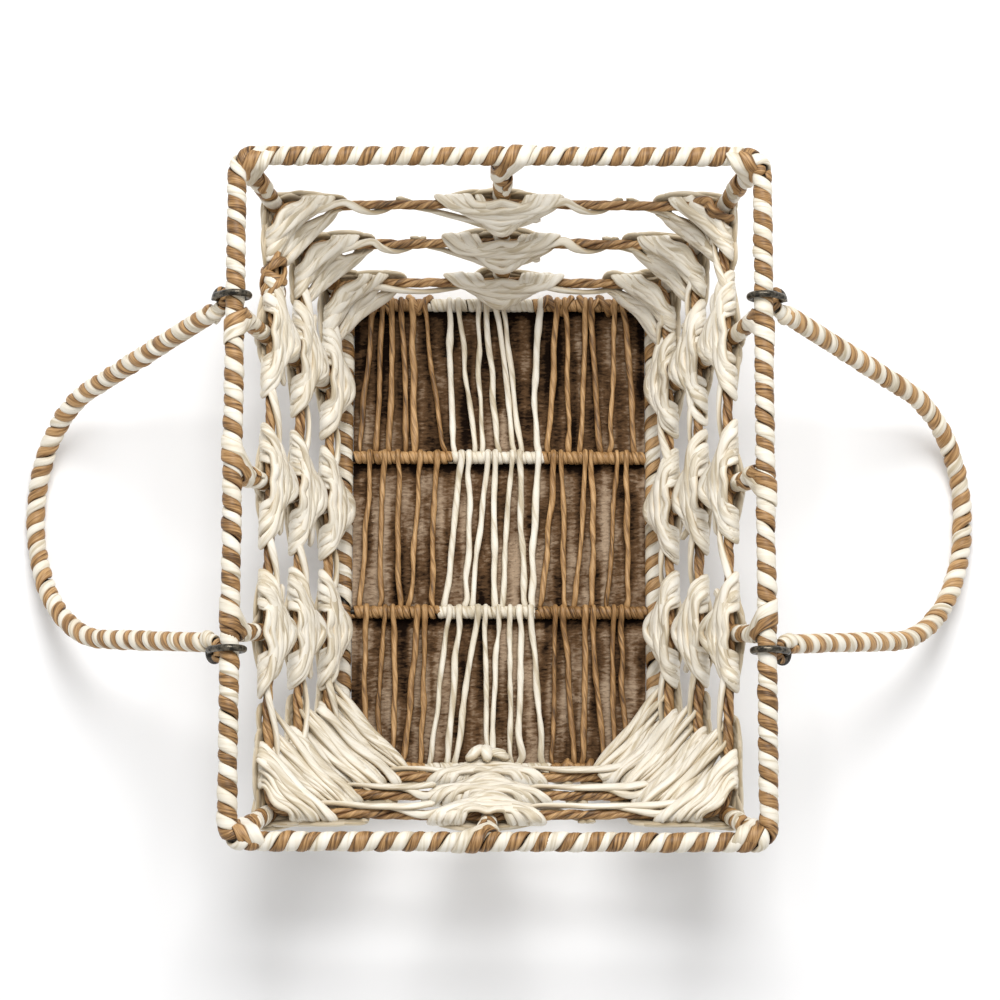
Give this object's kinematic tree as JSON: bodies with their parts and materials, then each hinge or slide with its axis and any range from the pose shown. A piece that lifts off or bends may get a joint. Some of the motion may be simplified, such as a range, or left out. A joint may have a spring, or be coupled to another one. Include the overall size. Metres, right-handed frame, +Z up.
{
  "type": "bread basket",
  "caption": "Rectangular open bread basket of wrapped iron wire with rope tiers, cream lashings, a corded base and two handles that swing on wire rings.",
  "frame": {"origin": "centre of the footprint on the table, under the middle of the basket", "axes": "+X to the right across the handles, +Y to the rear along the basket, +Z up"},
  "size_m": [0.5032, 0.3536, 0.1446],
  "materials": {
    "striped_wrap": "twisted paper cord wrap, brown and cream stripes, matt",
    "brown_cord": "brown twisted paper cord, matt with a slight sheen",
    "brown_rope": "brown two-ply twisted paper rope, matt",
    "cream_cord": "cream twisted paper cord, matt",
    "frame_wire": "dark iron wire",
    "ring_wire": "dark gunmetal wire, lightly polished",
    "brown_fibre": "short brown pile"
  },
  "bodies": {
    "basket": {"rim_wire": "frame_wire", "rim_wrap": "striped_wrap", "base_wire": "frame_wire", "base_wrap": "striped_wrap", "rear_crossbar_wire": "frame_wire", "front_crossbar_wire": "frame_wire", "end_winding_cream": "cream_cord", "end_winding_brown": "brown_cord", "crossbar_winding_cream": "cream_cord", "crossbar_winding_brown": "brown_cord", "corner_post_wires": "frame_wire", "side_post_wires": "frame_wire", "end_post_wires": "frame_wire", "rear_left_corner_wrap": "striped_wrap", "rear_right_corner_wrap": "striped_wrap", "front_right_corner_wrap": "striped_wrap", "front_left_corner_wrap": "striped_wrap", "left_rear_post_wrap": "striped_wrap", "left_middle_post_wrap": "striped_wrap", "left_front_post_wrap": "striped_wrap", "right_rear_post_wrap": "striped_wrap", "right_middle_post_wrap": "striped_wrap", "right_front_post_wrap": "striped_wrap", "rear_middle_post_wrap": "striped_wrap", "front_middle_post_wrap": "striped_wrap", "upper_rope": "brown_rope", "middle_rope": "brown_rope", "lower_rope": "brown_rope", "rear_left_corner_lashing": "cream_cord", "rear_right_corner_lashing": "cream_cord", "front_right_corner_lashing": "cream_cord", "front_left_corner_lashing": "cream_cord", "left_rear_lashing": "cream_cord", "left_middle_lashing": "cream_cord", "left_front_lashing": "cream_cord", "right_rear_lashing": "cream_cord", "right_middle_lashing": "cream_cord", "right_front_lashing": "cream_cord", "rear_middle_lashing": "cream_cord", "front_middle_lashing": "cream_cord", "rear_cords_left": "brown_cord", "rear_cords_cream": "cream_cord", "rear_cords_right": "brown_cord", "middle_cords_left": "brown_cord", "middle_cords_cream": "cream_cord", "middle_cords_right": "brown_cord", "front_cords_left": "brown_cord", "front_cords_cream": "cream_cord", "front_cords_right": "brown_cord", "base_mat": "brown_fibre"},
    "left_handle": {"left_handle_wire": "frame_wire", "left_handle_wrap": "striped_wrap", "left_rear_ring": "ring_wire", "left_front_ring": "ring_wire"},
    "right_handle": {"right_handle_wire": "frame_wire", "right_handle_wrap": "striped_wrap", "right_rear_ring": "ring_wire", "right_front_ring": "ring_wire"}
  },
  "joints": [
    {"name": "left_handle_swing", "type": "hinge", "parent": "basket", "child": "left_handle", "pos_m": [-0.132, 0.011, 0.136], "axis": [0, 1, 0], "range_deg": [-30, 185]},
    {"name": "right_handle_swing", "type": "hinge", "parent": "basket", "child": "right_handle", "pos_m": [0.132, 0.011, 0.136], "axis": [0, -1, 0], "range_deg": [-30, 185]}
  ]
}
